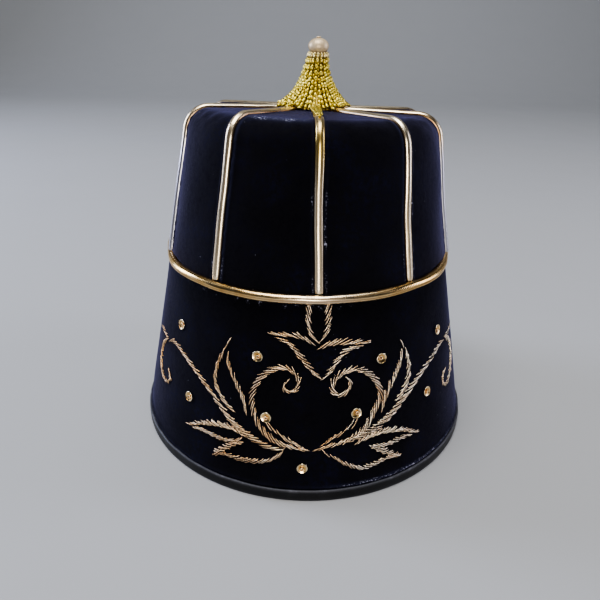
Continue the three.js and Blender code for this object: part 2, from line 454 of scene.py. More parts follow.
crownShape = {
    "sheen": 0.26,
    "fineTurn": 0.25,  # degrees between columns beside a strip
    "fineReach": 5.5,
    "plainColumns": 26,
    "rows": (60, 16, 26),
    "middleRadius": 2.0,  # of the last ring, under the tassel
    "innerRows": (12, 6, 4),  # on the cone, the shoulder and the top
    "ridgeRight": {"place": 3.15, "wide": 0.62, "high": 0.62},  # beside a strip, mm from its middle
    "ridgeLeft": {"place": -2.95, "wide": 0.5, "high": 0.28},
    # Unevenness: its height and length in mm, and its seed.
    "puckers": ((1.0, 5.0, 11), (0.5, 16.0, 12), -0.2, 1.1),
    "swell": (0.22, 34.0, 13),
    "gather": (0.16, 7.0, 14),
    "even": (0.25, 30.0, 15),
    "patches": (1.0, 9.0, 16),
    "fade": (20, 34),  # radius over which the seams' folds die out towards the tassel
    "clear": 4.0,  # mm from a strip that keep the plain form
    # Strength, strip by strip, of the painted sheen line on its right and left.
    "sheenRight": (0.2, 0.62, 0.12, 0.15, 0.1, 0.1, 0.1, 0.1, 0.1, 0.1),
    "sheenLeft": (0.1, 0.12, 0.10, 0.50, 0.4, 0.1, 0.1, 0.1, 0.1, 0.1),
    # Painted glints on the velvet beside a strip: the strip, counted from 0, and from where to where up the
    # crown, in mm.
    "glintRuns": ((2, 21, 46), (2, 2, 12), (1, 2, 13), (3, 2, 18), (3, 32, 40), (6, 4, 20), (8, 25, 40)),
    "crease": {"turn": -16.0, "inner": 0.990, "outer": 0.930},  # where the painted sheen and glints on the shoulder's crease show
}


def crownRows(cone, arc, top):  # mm up the crown
    shoulder = crownConeLength + crownArcLength
    return np.concatenate([
        np.linspace(0, crownConeLength, cone, endpoint=False),
        np.linspace(crownConeLength, shoulder, arc, endpoint=False),
        np.linspace(shoulder, crownLength - crownShape["middleRadius"], top),
    ])[:, None]


def crownTurns():  # the crown's columns, close together beside each strip
    reach = crownShape["fineReach"]
    middles = (stripFoot + stripHead) / 2
    turns = []
    for here, there in zip(middles, [*middles[1:], middles[0] + 360]):
        turns.append(here + np.arange(-reach, reach, crownShape["fineTurn"]))
        turns.append(np.linspace(here + reach, there - reach, crownShape["plainColumns"], endpoint=False))
    return np.concatenate(turns)


def makeCrown():
    shape = crownShape
    turns = crownTurns()
    along = crownRows(*shape["rows"])[::-1]
    radius, height, faces = crownOutline(along)
    outside = around(radius, turns, height)
    strip, apart = nearStrip(turns, along)
    away = radius * np.radians(apart)  # mm to the middle of the nearest strip
    fade = smoothStep(radius, *shape["fade"])
    free = 1 - bell(away, 0, shape["clear"])
    puckers = puckered(outside, *shape["puckers"])
    right, left = shape["ridgeRight"], shape["ridgeLeft"]
    ridge = bell(away, right["place"], right["wide"]) * puckers * fade
    lip = bell(away, left["place"], left["wide"]) * (1 - 0.6 * puckers) * fade
    shoulder = bell(along, crownConeLength + 0.6 * crownArcLength, 7.0)
    lift = (
        right["high"] * ridge
        + left["high"] * lip
        + waves(outside, *shape["swell"]) * free * fade
        + waves(outside, *shape["gather"]) * free * shoulder
    )
    outside = channelled(settled(outside + lift[..., None] * outwardAt(turns, faces)), turns)
    # Painted sheen and painted glints: pale lines beside each strip, and a line along the shoulder's
    # crease, strongest towards the front.
    bend = shape["crease"]
    front = towards(turns, bend["turn"], bend["outer"], bend["inner"])
    crease = bell(along, crownConeLength + 0.85 * crownArcLength, 2.4) * free * (0.12 + 0.88 * front)
    onRight, onLeft = bell(away, right["place"], 0.8) * fade, bell(away, left["place"], 0.7) * fade
    sheenRight, sheenLeft = (np.array(shape[key])[strip] for key in ("sheenRight", "sheenLeft"))
    even = 0.75 + waves(outside, *shape["even"])
    nap = (sheenRight * onRight + sheenLeft * onLeft) * even + 0.45 * crease
    patches = smoothStep(waves(outside, *shape["patches"]), -0.4, 0.8)
    fleck = 0.65 * crease * (0.45 + 0.55 * patches)
    for number, start, end in shape["glintRuns"]:
        run = smoothStep(along, start - 3, start + 2) * (1 - smoothStep(along, end - 2, end + 3))
        fleck = fleck + (strip == number) * (onRight + 0.35 * onLeft) * run * (0.3 + 0.7 * patches)
    radius, height, faces = crownOutline(crownRows(*shape["innerRows"]))
    inside = around(radius, turns, height) - cap["wall"] * outwardAt(turns, faces)
    inside[..., 2] = np.maximum(inside[..., 2], cap["jointHeight"] + cap["gap"])
    inside = settled(channelled(inside, turns, cap["channelWall"]))
    makeShell("crownVelvet", "crown", shape["sheen"], outside, inside, nap, fleck)


makeCrown()
print("crown made")


bandShape = {
    "sheen": 0.13,
    "columns": 480,
    "rows": 62,
    "nearCord": 6.0,  # mm below the joint that have closer rows
    "nearRows": 12,
    "innerRows": 20,
    "lowRows": (1.6, 2.7, 4.4, 5.6, 6.4, 7.0, 7.5, 8.0),  # heights of the rows behind the binding
    "pressedRadius": 96.4,  # under the binding
    "pressedHeight": 6.7,
    "overBinding": {"place": 7.4, "wide": 0.9, "high": 0.75},  # velvet pile that stands over the binding's edge, where painted sheen also lies
    "underCord": {"place": 101.5, "wide": 1.6, "high": 0.35},
    "rough": ((1.0, 4.0, 21), (0.4, 13.0, 22), -0.5, 1.0),
    "swell": (0.25, 40.0, 23),
    "free": (9, 20, 92, 103),  # heights between which the wall swells
}


def makeBand():
    shape = bandShape
    turns = evenTurns(shape["columns"])
    top = cap["jointHeight"] - cap["gap"]
    low = shape["lowRows"]
    heights = np.concatenate([
        np.linspace(top, top - shape["nearCord"], shape["nearRows"], endpoint=False),
        np.linspace(top - shape["nearCord"], low[-1] + 1, shape["rows"]),
        low[::-1],
    ])
    tall = heights[:, None]
    radius = np.where(tall > shape["pressedHeight"], coneRadius(tall), shape["pressedRadius"])
    outside = around(radius, turns, tall)
    rough = puckered(outside, *shape["rough"])
    over, under = shape["overBinding"], shape["underCord"]
    rim = bell(tall, over["place"], over["wide"])
    roll = bell(tall, under["place"], under["wide"])
    free = smoothStep(tall, *shape["free"][:2]) * (1 - smoothStep(tall, *shape["free"][2:]))
    lift = (
        over["high"] * rim * (0.5 + 0.5 * rough)
        + under["high"] * roll * rough
        + waves(outside, *shape["swell"]) * free
    )
    outside = channelled(outside + lift[..., None] * outwardAt(turns, coneAngle), turns)
    # Painted sheen and painted glints over the binding, strongest round 38 degrees, and glints under the
    # cord towards the front.
    sheenSide = towards(turns, 38, 0.80, 0.98)
    nap = rim * (0.08 + 0.35 * sheenSide)
    ahead = towards(turns, -14, 0.75, 0.95)
    fleck = 0.5 * rim * sheenSide + 0.35 * bell(tall, under["place"], 2.2) * rough * ahead
    wall = cap["wall"] / math.cos(coneAngle)
    inner = [(coneRadius(h) - wall, h) for h in np.linspace(low[0], top, shape["innerRows"])]
    inside = channelled(revolve(inner, turns)[0], turns, cap["channelWall"])
    makeShell("bandVelvet", "band", shape["sheen"], outside, inside, nap, fleck, loop=True)


makeBand()
print("band made")


# Gold strips down the crown.
foilLook = {
    "pale": (0.93, 0.82, 0.61),
    "warm": (0.80, 0.57, 0.31),
    # painted shade on the strips' sides
    "edgeShade": (0.20, 0.10, 0.04),
    # painted reflection of the cool side light
    "grey": (0.46, 0.47, 0.56),
    # painted reflection of the beads on the front strip
    "yellow": (0.78, 0.55, 0.17),
}


def makeFoilFinish():
    finish = Finish("goldFoil", Metallic=1.0)
    across, along, tone = finish.mark("across"), finish.mark("along"), finish.mark("tone")
    streak = finish.streaks(across * 2.6, along * 0.010, tone * 9, 1.6, 3.0)
    fine = finish.streaks(across * 8, along * 0.035, tone * 5, 1.4, 2.0)
    body = finish.ramp(streak, [(0.3, foilLook["warm"]), (0.62, foilLook["pale"])])
    # Painted shade: the strip darkens towards its sides.
    edge = finish.between(abs(across), 0.78, 0.98) * (1 - finish.mark("grey"))
    wearAndHighlight = finish.between(fine, 0.62, 0.78)
    colour = finish.mix(edge * 0.85, body, foilLook["edgeShade"])
    colour = finish.mix(wearAndHighlight * 0.4, colour, foilLook["warm"])
    # Painted reflection of the cool side light on the side strips below the shoulder.
    colour = finish.mix(finish.mark("grey") * 0.8, colour, foilLook["grey"])
    # Painted reflection of the beads' gold on the front strip, where they end on it.
    colour = finish.mix(finish.mark("yellow"), colour, foilLook["yellow"])
    normal = finish.bump(streak + fine * 0.25, 0.25, 0.25)
    return finish.complete(colour, (fine, 0.3, 0.75, 0.23, 0.36), normal)


foil = makeFoilFinish()

stripShape = {
    "footHeight": 107.95,
    "innerRadius": 9.5,
    "halfWidth": 2.1,
    "high": 1.8,  # top of the strip off the velvet
    "sunk": 0.25,
    "rings": 150,
    "arcSteps": 29,
    "creases": [{"place": 0.30, "wide": 0.16, "deep": 0.05}, {"place": -0.55, "wide": 0.14, "deep": 0.04}],
    "creased": {2: 3.0, 4: 1.5},  # strips with deeper creases
    "backPoints": (-0.93, 0.0, 0.93),
    "blunt": 0.95,  # below 1 the dome is fuller than half round
    "ends": (0.92, 0.98),
    # Unevenness: its height and its length in mm.
    "wander": (0.12, 22.0),
    "widths": (0.025, 14.0),
    "heights": (0.015, 26.0),
    "creasePlace": (0.10, 60.0),
    "creaseDepth": (1.0, 50.0),
    "greyReflectionStrips": (1, 5),  # strips with a painted reflection of the cool side light, greyer below the shoulder
    "greyReflectionTo": (52, 66),  # mm up the strip over which that painted reflection ends
    "underTassel": 3,  # the strip that gets a painted reflection of the beads where they end on it
    "yellow": (1.0, 12.0),  # mm past the end of the cone, and how wide
}


def makeStrips():
    shape = stripShape
    start = (shape["footHeight"] - cap["jointHeight"]) / math.cos(coneAngle)
    along = np.linspace(start, crownLength - shape["innerRadius"], shape["rings"])
    radius, height, faces = crownOutline(along)
    bend = np.linspace(0, math.pi, shape["arcSteps"])
    across = np.concatenate([np.cos(bend), shape["backPoints"]])
    grey = 1 - smoothStep(along, *shape["greyReflectionTo"])
    yellow = bell(along, crownConeLength + shape["yellow"][0], shape["yellow"][1])
    ends = tapered(len(along), shape["ends"])
    for number, turn in enumerate(stripTurns(along).T, 1):
        path = around(radius, turn, height)[None]
        facing = outwardAt(turn, faces)[None]
        sideways = around(1, turn + 90, 0)[None]
        drift = waves(path, *shape["wander"], 30 + number)
        path = settled(path + drift[..., None] * sideways)
        wide = shape["halfWidth"] * (1 + waves(path, *shape["widths"], 50 + number))
        high = shape["high"] * (1 + waves(path, *shape["heights"], 70 + number))
        dome = np.sin(bend) ** shape["blunt"] * (high * ends)[..., None]
        for k, crease in enumerate(shape["creases"]):
            place = crease["place"] + waves(path, *shape["creasePlace"], 90 + 10 * k + number)
            depth = smoothStep(waves(path, *shape["creaseDepth"], 200 + 10 * k + number), -1.6, 0.4)
            depth = crease["deep"] * depth * shape["creased"].get(number, 1.0)
            dome -= depth[..., None] * bell(np.cos(bend), place[..., None], crease["wide"])
        base = -shape["sunk"] * np.ones((*wide.shape, len(shape["backPoints"])))
        section = np.stack([across * (wide * ends)[..., None], np.concatenate([dome, base], -1)], -1)
        grid = sweep(path, facing, section)
        marks = {
            "across": across,
            "along": along[:, None],
            "tone": number / len(stripFoot),
            "grey": (number in shape["greyReflectionStrips"]) * grey[:, None],
            "yellow": (number == shape["underTassel"]) * yellow[:, None],
        }
        makePiece(f"strip{number}", grid, [foil], [f"rib_{number:02d}"], marks)


makeStrips()
print("strips made")


# The cord round the joint: foil-covered piping with lengthwise folds and a faint wrap.
cordShape = {
    "wraps": 480,
    "stepsEach": 5,
    "sides": 32,
    "wrapDeep": 0.02,
    "wrapDeepRight": 0.06,  # on the wearer's left
    "folds": [  # degrees up from straight out, width in degrees, depth in mm
        {"at": 8, "wide": 8, "deep": 0.17},
        {"at": 52, "wide": 9, "deep": 0.05},
    ],
    "wander": (0.10, 19.0),  # height and length of its unevenness in mm
    "foldWander": (5.0, 26.0),  # the same for the folds, in degrees and mm
    "right": (70, 0.5, 0.95),  # where the wrap shows
    "front": {"at": 4, "wide": 17},  # degrees round the cap where a painted highlight lightens its gold
}

cordLook = {
    "body": (0.70, 0.42, 0.12),
    "bright": (0.87, 0.61, 0.27),
    # painted highlight across the cord's front
    "front": (0.92, 0.76, 0.56),
    "streak": (0.58, 0.36, 0.15),
    # painted shade in the folds and between the wraps
    "fold": (0.24, 0.12, 0.05),
}


def makeCordFinish():
    finish = Finish("goldCord", Metallic=1.0)
    winding, fold, around360 = finish.mark("winding"), finish.mark("fold"), finish.mark("angle")
    tone = finish.noise(6, 3.0)
    body = finish.ramp(tone, [(0.3, cordLook["body"]), (0.65, cordLook["bright"])])
    # Painted highlight: the gold lightens across the cord's front.
    body = finish.mix(finish.mark("front") * 0.8, body, cordLook["front"])
    streak = finish.streaks(around360 * 5, finish.mark("along") * 0.05, 0.0, 1.2, 3.0)
    streaked = finish.mix(finish.between(streak, 0.50, 0.68) * 0.6, body, cordLook["streak"])
    # Painted shade in the cord's folds and in the grooves between its wraps.
    folded = finish.mix(fold * 0.85, streaked, cordLook["fold"])
    colour = finish.mix(finish.between(winding, 0.30, 0.0) * 0.5, folded, cordLook["fold"])
    return finish.complete(colour, (streak, 0.3, 0.7, 0.18, 0.32), finish.bump(streak, 0.10, 0.5))


def makeCord():
    shape, cord = cordShape, cap["cord"]
    turns = evenTurns(shape["wraps"] * shape["stepsEach"])
    path = around(cord["centreRadius"] - tuckAt(turns), turns, cord["height"])
    path = path + np.stack([waves(path, *shape["wander"], 41 + k) for k in range(3)], -1)
    facing = outwardAt(turns, 0.0)
    sides = np.radians(evenTurns(shape["sides"]))
    crest = np.abs(np.sin((shape["wraps"] * np.radians(turns)[:, None] + sides) / 2)) ** 0.7
    toRight = towards(turns, *shape["right"])[:, None]
    wrapDeep = shape["wrapDeep"] + (shape["wrapDeepRight"] - shape["wrapDeep"]) * toRight
    radii = cord["radius"] - wrapDeep * (1 - crest)
    upward = 90 - np.degrees(sides)  # from straight out; the section starts on its upper side
    folded = np.zeros_like(crest)
    for k, fold in enumerate(shape["folds"]):
        at = fold["at"] + waves(path, *shape["foldWander"], 45 + k)[:, None]
        dip = bell(turnsFrom(upward, at), 0, fold["wide"])
        radii = radii - fold["deep"] * dip
        folded = np.maximum(folded, dip * fold["deep"] / shape["folds"][0]["deep"])
    section = np.stack([radii * np.cos(sides), radii * np.sin(sides)], -1)[None]
    grid = sweep(path[None], facing[None], section, loop=True)
    front = bell(turnsFrom(turns, shape["front"]["at"]), 0, shape["front"]["wide"])
    marks = {
        "front": front[:, None],
        "winding": crest,
        "fold": folded,
        "angle": np.abs(np.sin(sides / 2)),
        "along": (cord["centreRadius"] * np.radians(turns))[:, None],
    }
    makePiece("jointCord", grid, [makeCordFinish()], ["ring_piping"], marks, loop=True)


makeCord()
print("cord made")


# The binding round the rim.
bindingShape = {
    "outer": 98.0,
    "thick": 1.3,
    "high": 6.4,
    "gap": 0.3,  # between the band and the strip's inner leg
    "round": 0.6,
    "columns": 240,
    "bend": 5,  # steps round each corner
    "uneven": (0.07, 11.0, 61),
}


def makeBindingFinish():
    finish = Finish("rimLeather", Specular_IOR_Level=0.25)
    grain = finish.cells(0.9, "SMOOTH_F1")
    scuff = finish.patches(7, 4.0, 0.52, 0.72, 0.65)
    # Painted highlight: lighter lines along the binding's top and bottom edges, patchy with the scuffs.
    wearAndHighlight = finish.mark("edge") * (0.45 + 0.55 * scuff)
    ground = finish.mix(scuff, (0.004, 0.004, 0.005), (0.011, 0.011, 0.013))
    colour = finish.mix(wearAndHighlight, ground, (0.13, 0.13, 0.15))
    normal = finish.bump(grain, 0.10, 0.55, finish.bump(finish.noise(5, 2.0), 0.3, 0.35))
    return finish.complete(colour, (scuff, 0.0, 1.0, 0.46, 0.62), normal)


def corner(radius, height, size, start, end, steps):
    angles = np.radians(np.linspace(start, end, steps))
    return [(radius + size * math.cos(a), height + size * math.sin(a)) for a in angles]


def makeBinding():
    shape = bindingShape
    size, outer, thick, high = (shape[key] for key in ("round", "outer", "thick", "high"))
    innerTop, innerFoot = (
        coneRadius(height) - cap["wall"] / math.cos(coneAngle) - shape["gap"] for height in (high, 0)
    )
    slope = (innerFoot - innerTop) / high

    def bend(radius, height, start):
        return corner(radius, height, size, start, start - 90, shape["bend"])

    profile = np.array([
        (outer - thick, high - 1.2),
        *bend(outer - thick + size, high - size, 180),
        *bend(outer - size, high - size, 90),
        *[(outer, high * share) for share in (0.75, 0.5, 0.3)],
        *bend(outer - size, size, 0),
        *bend(innerFoot - thick + size, size, -90),
        *[(innerFoot - thick - slope * high * share, high * share) for share in (0.3, 0.5, 0.75)],
        *bend(innerTop - thick + size, high - size, 180),
        *bend(innerTop - size, high - size, 90),
        (innerTop, high - 1.5), (innerFoot - shape["gap"], thick), (outer - thick, thick),
    ])
    turns = evenTurns(shape["columns"])
    grid = revolve(profile, turns)
    uneven = waves(grid, *shape["uneven"]) * smoothStep(profile[:, 1], 1.0, 4.0)[:, None]
    grid = grid + uneven[..., None] * outwardAt(turns, 0.0)
    # where the painted highlight lines lie, along the top and bottom edges
    edge = bell(profile[:, 1], high, 0.7) + 0.6 * bell(profile[:, 1], 0, 0.6)
    makePiece(
        "rimBinding", grid, [makeBindingFinish()], ["rim_binding"],
        {"edge": np.minimum(edge, 1)[:, None]}, loop=True,
    )


makeBinding()
print("binding made")


# Embroidery: short lengths of coiled gold wire sewn down as slanting stitches. Each row is a
# stem or one side of a leaf: its slant, 1 where the stitches cross from right to left, the
# length of its stitches, its widths from root to tip, and its path in degrees from the front
# and mm up the band. Slant 0 is one stitch along the whole path.
stems = [
    (1, 7.4, (2.5, 2.2, 1.2), [(1.2, 104.4), (0.9, 95.3), (1.8, 89.0), (4.6, 83.2)]),
    (-1, 7.4, (3.0, 2.6, 1.2), [(7.4, 104.4), (7.6, 94.2), (6.8, 88.5), (4.9, 83.6)]),
    (-1, 7.4, (1.7, 2.4, 1.6), [(3.8, 83.0), (0.0, 86.0), (-4.4, 87.6), (-12.7, 87.0)]),
    (1, 7.4, (1.6, 2.8, 1.5), [
        (-10.1, 86.2), (-7.0, 84.5), (-4.2, 82.0), (-0.6, 75.7), (2.7, 70.3), (5.7, 64.9),
    ]),
    (1, 7.4, (1.8, 3.2, 1.4), [(3.6, 80.9), (8.0, 83.3), (14.0, 83.9), (22.7, 81.8)]),
    (-1, 7.4, (1.5, 2.8, 1.5), [(20.3, 81.2), (16.0, 80.2), (12.2, 77.6), (9.2, 71.7), (5.8, 64.7)]),
    (-1, 7.4, (1.2, 3.2, 2.6, 2.9, 2.2, 1.1), [
        (2.6, 28.4), (-3.9, 29.7), (-9.6, 33.0), (-14.3, 40.3), (-16.8, 49.6), (-16.6, 57.6),
        (-13.8, 65.7), (-9.0, 70.5), (-4.4, 70.4), (-1.7, 65.1), (-2.9, 59.6), (-6.1, 59.2), (-6.8, 62.8),
        (-5.2, 65.7),
    ]),
    (1, 7.4, (1.2, 3.0, 3.0, 2.8, 2.6, 1.2), [
        (2.9, 28.1), (8.5, 30.5), (14.8, 32.8), (19.8, 37.7), (23.3, 45.9), (25.8, 54.1), (23.7, 63.1),
        (18.4, 69.2), (12.9, 68.7), (9.6, 64.6), (9.2, 59.6), (11.5, 56.7), (14.7, 59.4), (15.2, 63.6),
        (13.9, 66.3),
    ]),
    (1, 7.4, (2.2, 2.3, 1.5), [
        (-22.6, 42.6), (-27.0, 48.0), (-30.8, 55.5), (-30.7, 65.0), (-28.0, 74.5),
    ]),
    (0, 0, (), [(-28.2, 74.5), (-26.0, 81.2)]),
    (-1, 7.4, (1.7, 2.4, 1.6), [
        (-18.0, 43.0), (-20.2, 52.2), (-23.4, 60.5), (-26.4, 68.0), (-27.4, 74.6),
    ]),
    (1, 7.4, (2.6, 3.0, 1.8), [(25.3, 44.1), (27.7, 52.3), (30.7, 59.7), (33.4, 65.7), (35.6, 73.8)]),
    (0, 0, (), [(36.2, 74.0), (34.8, 79.0)]),
    (-1, 7.4, (2.4, 2.9, 1.7), [(31.6, 46.6), (35.6, 53.0), (37.8, 59.5), (37.9, 67.0), (36.4, 73.6)]),
    (1, 8.2, (2.2, 3.3, 2.6, 2.4, 2.2), [
        (-5.4, 27.5), (-11.3, 29.0), (-16.7, 32.2), (-22.4, 36.9), (-28.1, 44.3), (-34.5, 52.1),
        (-41.9, 58.2), (-49.9, 62.9), (-55.0, 63.6), (-60.0, 61.2),
    ]),
    (1, 4.6, (2.3, 2.8, 2.2, 1.2), [
        (-60.0, 61.2), (-64.6, 56.2), (-66.0, 50.0), (-64.9, 42.6), (-60.6, 37.8), (-56.6, 37.9),
        (-54.8, 41.8), (-57.0, 46.6),
    ]),
    (1, 7.4, (1.8, 1.6, 1.2), [(-61.0, 61.0), (-66.5, 62.4), (-73.5, 60.4)]),
    (-1, 8.2, (2.2, 3.6, 3.2, 2.6, 2.2), [
        (11.6, 31.2), (17.4, 33.5), (25.2, 37.4), (31.1, 43.1), (37.4, 50.1), (43.7, 56.2), (51.6, 61.4),
        (58.0, 64.6), (62.5, 64.8),
    ]),
    (-1, 4.6, (2.3, 2.8, 2.2, 1.2), [
        (62.5, 64.8), (68.2, 60.0), (70.6, 53.1), (69.6, 46.8), (66.5, 40.8), (62.4, 37.2), (58.6, 39.4),
        (58.4, 44.6), (61.8, 48.0),
    ]),
    (-1, 7.4, (1.8, 1.6, 1.2), [(64.0, 64.2), (69.0, 64.4), (74.0, 66.0)]),
    (-1, 5.4, (2.0, 2.8, 1.5), [
        (-17.6, 32.0), (-22.8, 34.2), (-28.3, 33.9), (-34.4, 31.0), (-42.0, 24.4),
    ]),
    (1, 5.0, (1.6, 2.2, 1.4), [
        (-39.5, 25.4), (-33.5, 26.7), (-26.8, 26.5), (-22.0, 27.8), (-18.9, 30.8),
    ]),
    (-1, 5.0, (1.6, 3.2, 1.4), [(-18.8, 28.9), (-22.6, 25.8), (-25.8, 22.0), (-29.6, 17.0)]),
    (1, 5.4, (1.6, 2.5, 1.6), [
        (-29.9, 15.7), (-25.5, 18.6), (-18.9, 18.7), (-12.4, 20.1), (-8.6, 23.0), (-5.6, 27.5),
    ]),
    (1, 5.4, (2.0, 3.0, 1.5), [(15.8, 30.1), (21.9, 32.8), (27.6, 33.2), (33.6, 30.8), (41.4, 24.2)]),
    (-1, 5.0, (1.6, 2.4, 1.4), [(38.6, 25.2), (32.5, 25.9), (27.2, 25.4), (22.6, 27.2)]),
    (1, 5.0, (1.6, 3.0, 1.3), [(21.4, 27.8), (24.9, 23.9), (28.6, 20.2), (33.0, 16.2)]),
    (-1, 5.4, (1.5, 2.4, 1.7), [
        (33.0, 16.3), (27.2, 17.7), (22.0, 16.1), (17.8, 16.2), (13.2, 20.0), (9.6, 24.2),
    ]),
    (0, 0, (), [(10.6, 22.4), (8.4, 26.0)]),
    (0, 0, (), [(8.6, 24.0), (6.1, 28.6)]),
    (-1, 8.0, (1.1, 1.9, 1.7), [(1.2, 28.8), (-3.6, 32.6), (-9.0, 37.8)]),
    (0, 0, (), [(-8.0, 35.9), (-11.6, 43.0)]),
    (0, 0, (), [(-9.8, 37.4), (-12.2, 42.6)]),
    (1, 8.0, (1.1, 1.9, 1.7), [(5.0, 30.4), (9.4, 34.6), (14.4, 38.8)]),
    (0, 0, (), [(13.7, 38.0), (16.4, 43.4)]),
    (0, 0, (), [(15.3, 38.2), (17.4, 43.2)]),
]

purlShape = {
    "thick": 0.62,
    "spacing": 1.0,  # from strand to strand
    "widen": 1.30,  # the widths above are to the middles of the outer strands
    "cutAbove": 104.0,  # a stem that starts higher comes out from under the cord at its full width
    "overlap": 0.42,  # a stitch begins before this share of the last one
    "hidden": 0.7,  # share of the first stitch that lies under the cord
    "longest": 0.8,  # share of a short stem that a stitch may have
    "last": 0.66,  # share of a stitch that has to fit in before the tip
    "pastTip": 0.6,
    "stretch": 1.6,  # how much longer a stitch is for each mm that it juts out
    "lengths": (0.90, 1.10),
    "stray": {"along": 0.2, "aside": 0.09, "high": 0.05, "tone": 0.13},
    "rings": 9,
    "sides": 8,
    "high": 0.50,  # middle of a stitch off the velvet
    "raised": 0.16,  # how much higher those lie that jut out
    "arch": 0.45,  # below 0.5 a stitch stays high nearly to its ends
    "ends": (0.72,),
    "thickness": (0.93, 1.05),
    "tone": 0.45,
    "toneWaves": (0.16, 30.0),
    "jut": 0.45,  # how far every second stitch stands out of its row's edge
    "follow": 0.65,  # how far a stitch bends with its stem
    "litToLeft": 0.5,  # painted light: how much lighter the wire is drawn towards the wearer's left
    "backTurn": 180.0,  # the motif is sewn again on the back
    "seed": 7,
}


def unroll(turns, heights):  # the cone laid out flat, as seen from outside
    slant = coneRadius(np.asarray(heights, float)) / math.sin(coneAngle)
    fan = np.radians(turns) * math.sin(coneAngle)
    return np.stack([slant * np.sin(fan), -slant * np.cos(fan)], -1)


def rollUp(flat, proud):  # back onto the cone, proud mm off it; also the way it faces
    slant = np.hypot(flat[..., 0], flat[..., 1])
    turns = turnOf(flat[..., 0], flat[..., 1]) / math.sin(coneAngle)
    radius = slant * math.sin(coneAngle)
    heights = (cap["footRadius"] - radius) / cap["taper"]
    facing = outwardAt(turns, coneAngle)
    return around(radius, turns, heights) + proud[..., None] * facing, facing


def smoothPath(points, each=16):  # a curve through the points
    points = np.asarray(points, float)
    ends = [2 * points[0] - points[1]], [2 * points[-1] - points[-2]]
    held = np.concatenate([ends[0], points, ends[1]])
    share = np.linspace(0, 1, each, endpoint=False)[:, None]
    pieces = []
    for a, b, c, d in zip(held, held[1:], held[2:], held[3:]):
        pieces.append(0.5 * (
            2 * b + (c - a) * share + (2 * a - 5 * b + 4 * c - d) * share**2
            + (3 * b - a - 3 * c + d) * share**3
        ))
    return np.concatenate([*pieces, points[-1:]])


class Stem:
    def __init__(self, path):
        self.line = smoothPath(unroll(*np.array(path).T))
        self.far = distances(self.line)
        self.length = self.far[-1]
        ahead = unit(np.gradient(self.line, axis=0))
        self.left = np.stack([-ahead[:, 1], ahead[:, 0]], -1)

    def at(self, distance, aside):
        pick = lambda table: np.stack([np.interp(distance, self.far, table[:, k]) for k in (0, 1)], -1)
        return pick(self.line) + np.asarray(aside)[..., None] * pick(self.left)


def stitchesOf(slant, stitch, widths, path, rng):  # flat paths of the stitches of one row
    shape, stem = purlShape, Stem(path)
    share = np.linspace(0, 1, shape["rings"])
    if not slant:
        return [stem.at(share * stem.length, 0 * share)]
    long = min(stitch, shape["longest"] * stem.length)
    widths = shape["widen"] * np.array(widths)
    cut = path[0][1] > shape["cutAbove"]
    stretch, stray = shape["stretch"], shape["stray"]
    paths, start = [], -shape["hidden"] * long if cut else 0.0
    while start + shape["last"] * long < stem.length:
        proud = shape["jut"] * (0.5 if len(paths) % 2 else -0.5)
        begin = start - stretch * proud + rng.normal(0, stray["along"])
        end = start + long * rng.uniform(*shape["lengths"]) + stretch * proud
        end = min(end, stem.length + shape["pastTip"])
        wide = np.interp([begin, end], np.linspace(0, stem.length, len(widths)), widths)
        room = np.maximum(wide - shape["thick"], 0.1) / 2 + proud
        sides = slant * np.array([-room[0], room[1]]) + rng.normal(0, stray["aside"], 2)
        hidden = max(-begin / (end - begin), 0) if cut else 0  # share that the cord covers
        begin = begin if cut else max(begin, 0)
        shown = hidden + (1 - hidden) * share
        curved = stem.at(begin + (end - begin) * shown, sides[0] + (sides[1] - sides[0]) * shown)
        straight = curved[0] + (curved[-1] - curved[0]) * share[:, None]
        paths.append(straight + shape["follow"] * (curved - straight))
        lean = math.atan2(room.sum(), long)
        start += min(shape["spacing"] / math.sin(lean), shape["overlap"] * long)
    return paths


def rollMark(sides):  # 0 to 1 to 0 round a tube
    return np.abs(np.linspace(-1, 1, sides, endpoint=False))


def makePurlFinish():
    finish = Finish("goldPurl", Metallic=1.0)
    along, roll, tone = finish.mark("along"), finish.mark("roll"), finish.mark("tone")
    turnsOfWire = (along / 0.24 + roll) * 2 * math.pi
    wire = finish.node("ShaderNodeMath", {"operation": "SINE"}, {0: turnsOfWire}) * 0.5 + 0.5
    body = finish.ramp(tone, [
        (0.0, (0.68, 0.43, 0.22)), (0.4, (0.86, 0.64, 0.41)), (1.0, (0.98, 0.88, 0.70)),
    ])
    tarnish = finish.patches(3.5, 3.0, 0.52, 0.72)
    dull = finish.mix(tarnish * 0.5, body, (0.55, 0.34, 0.19))
    # Painted shade in the grooves between the wire's turns.
    colour = finish.mix(finish.between(wire, 0.25, 0.0) * 0.5, dull, (0.36, 0.21, 0.11))
    return finish.complete(colour, (tarnish, 0.0, 1.0, 0.20, 0.34), finish.bump(wire, 0.04, 0.5))


purl = makePurlFinish()


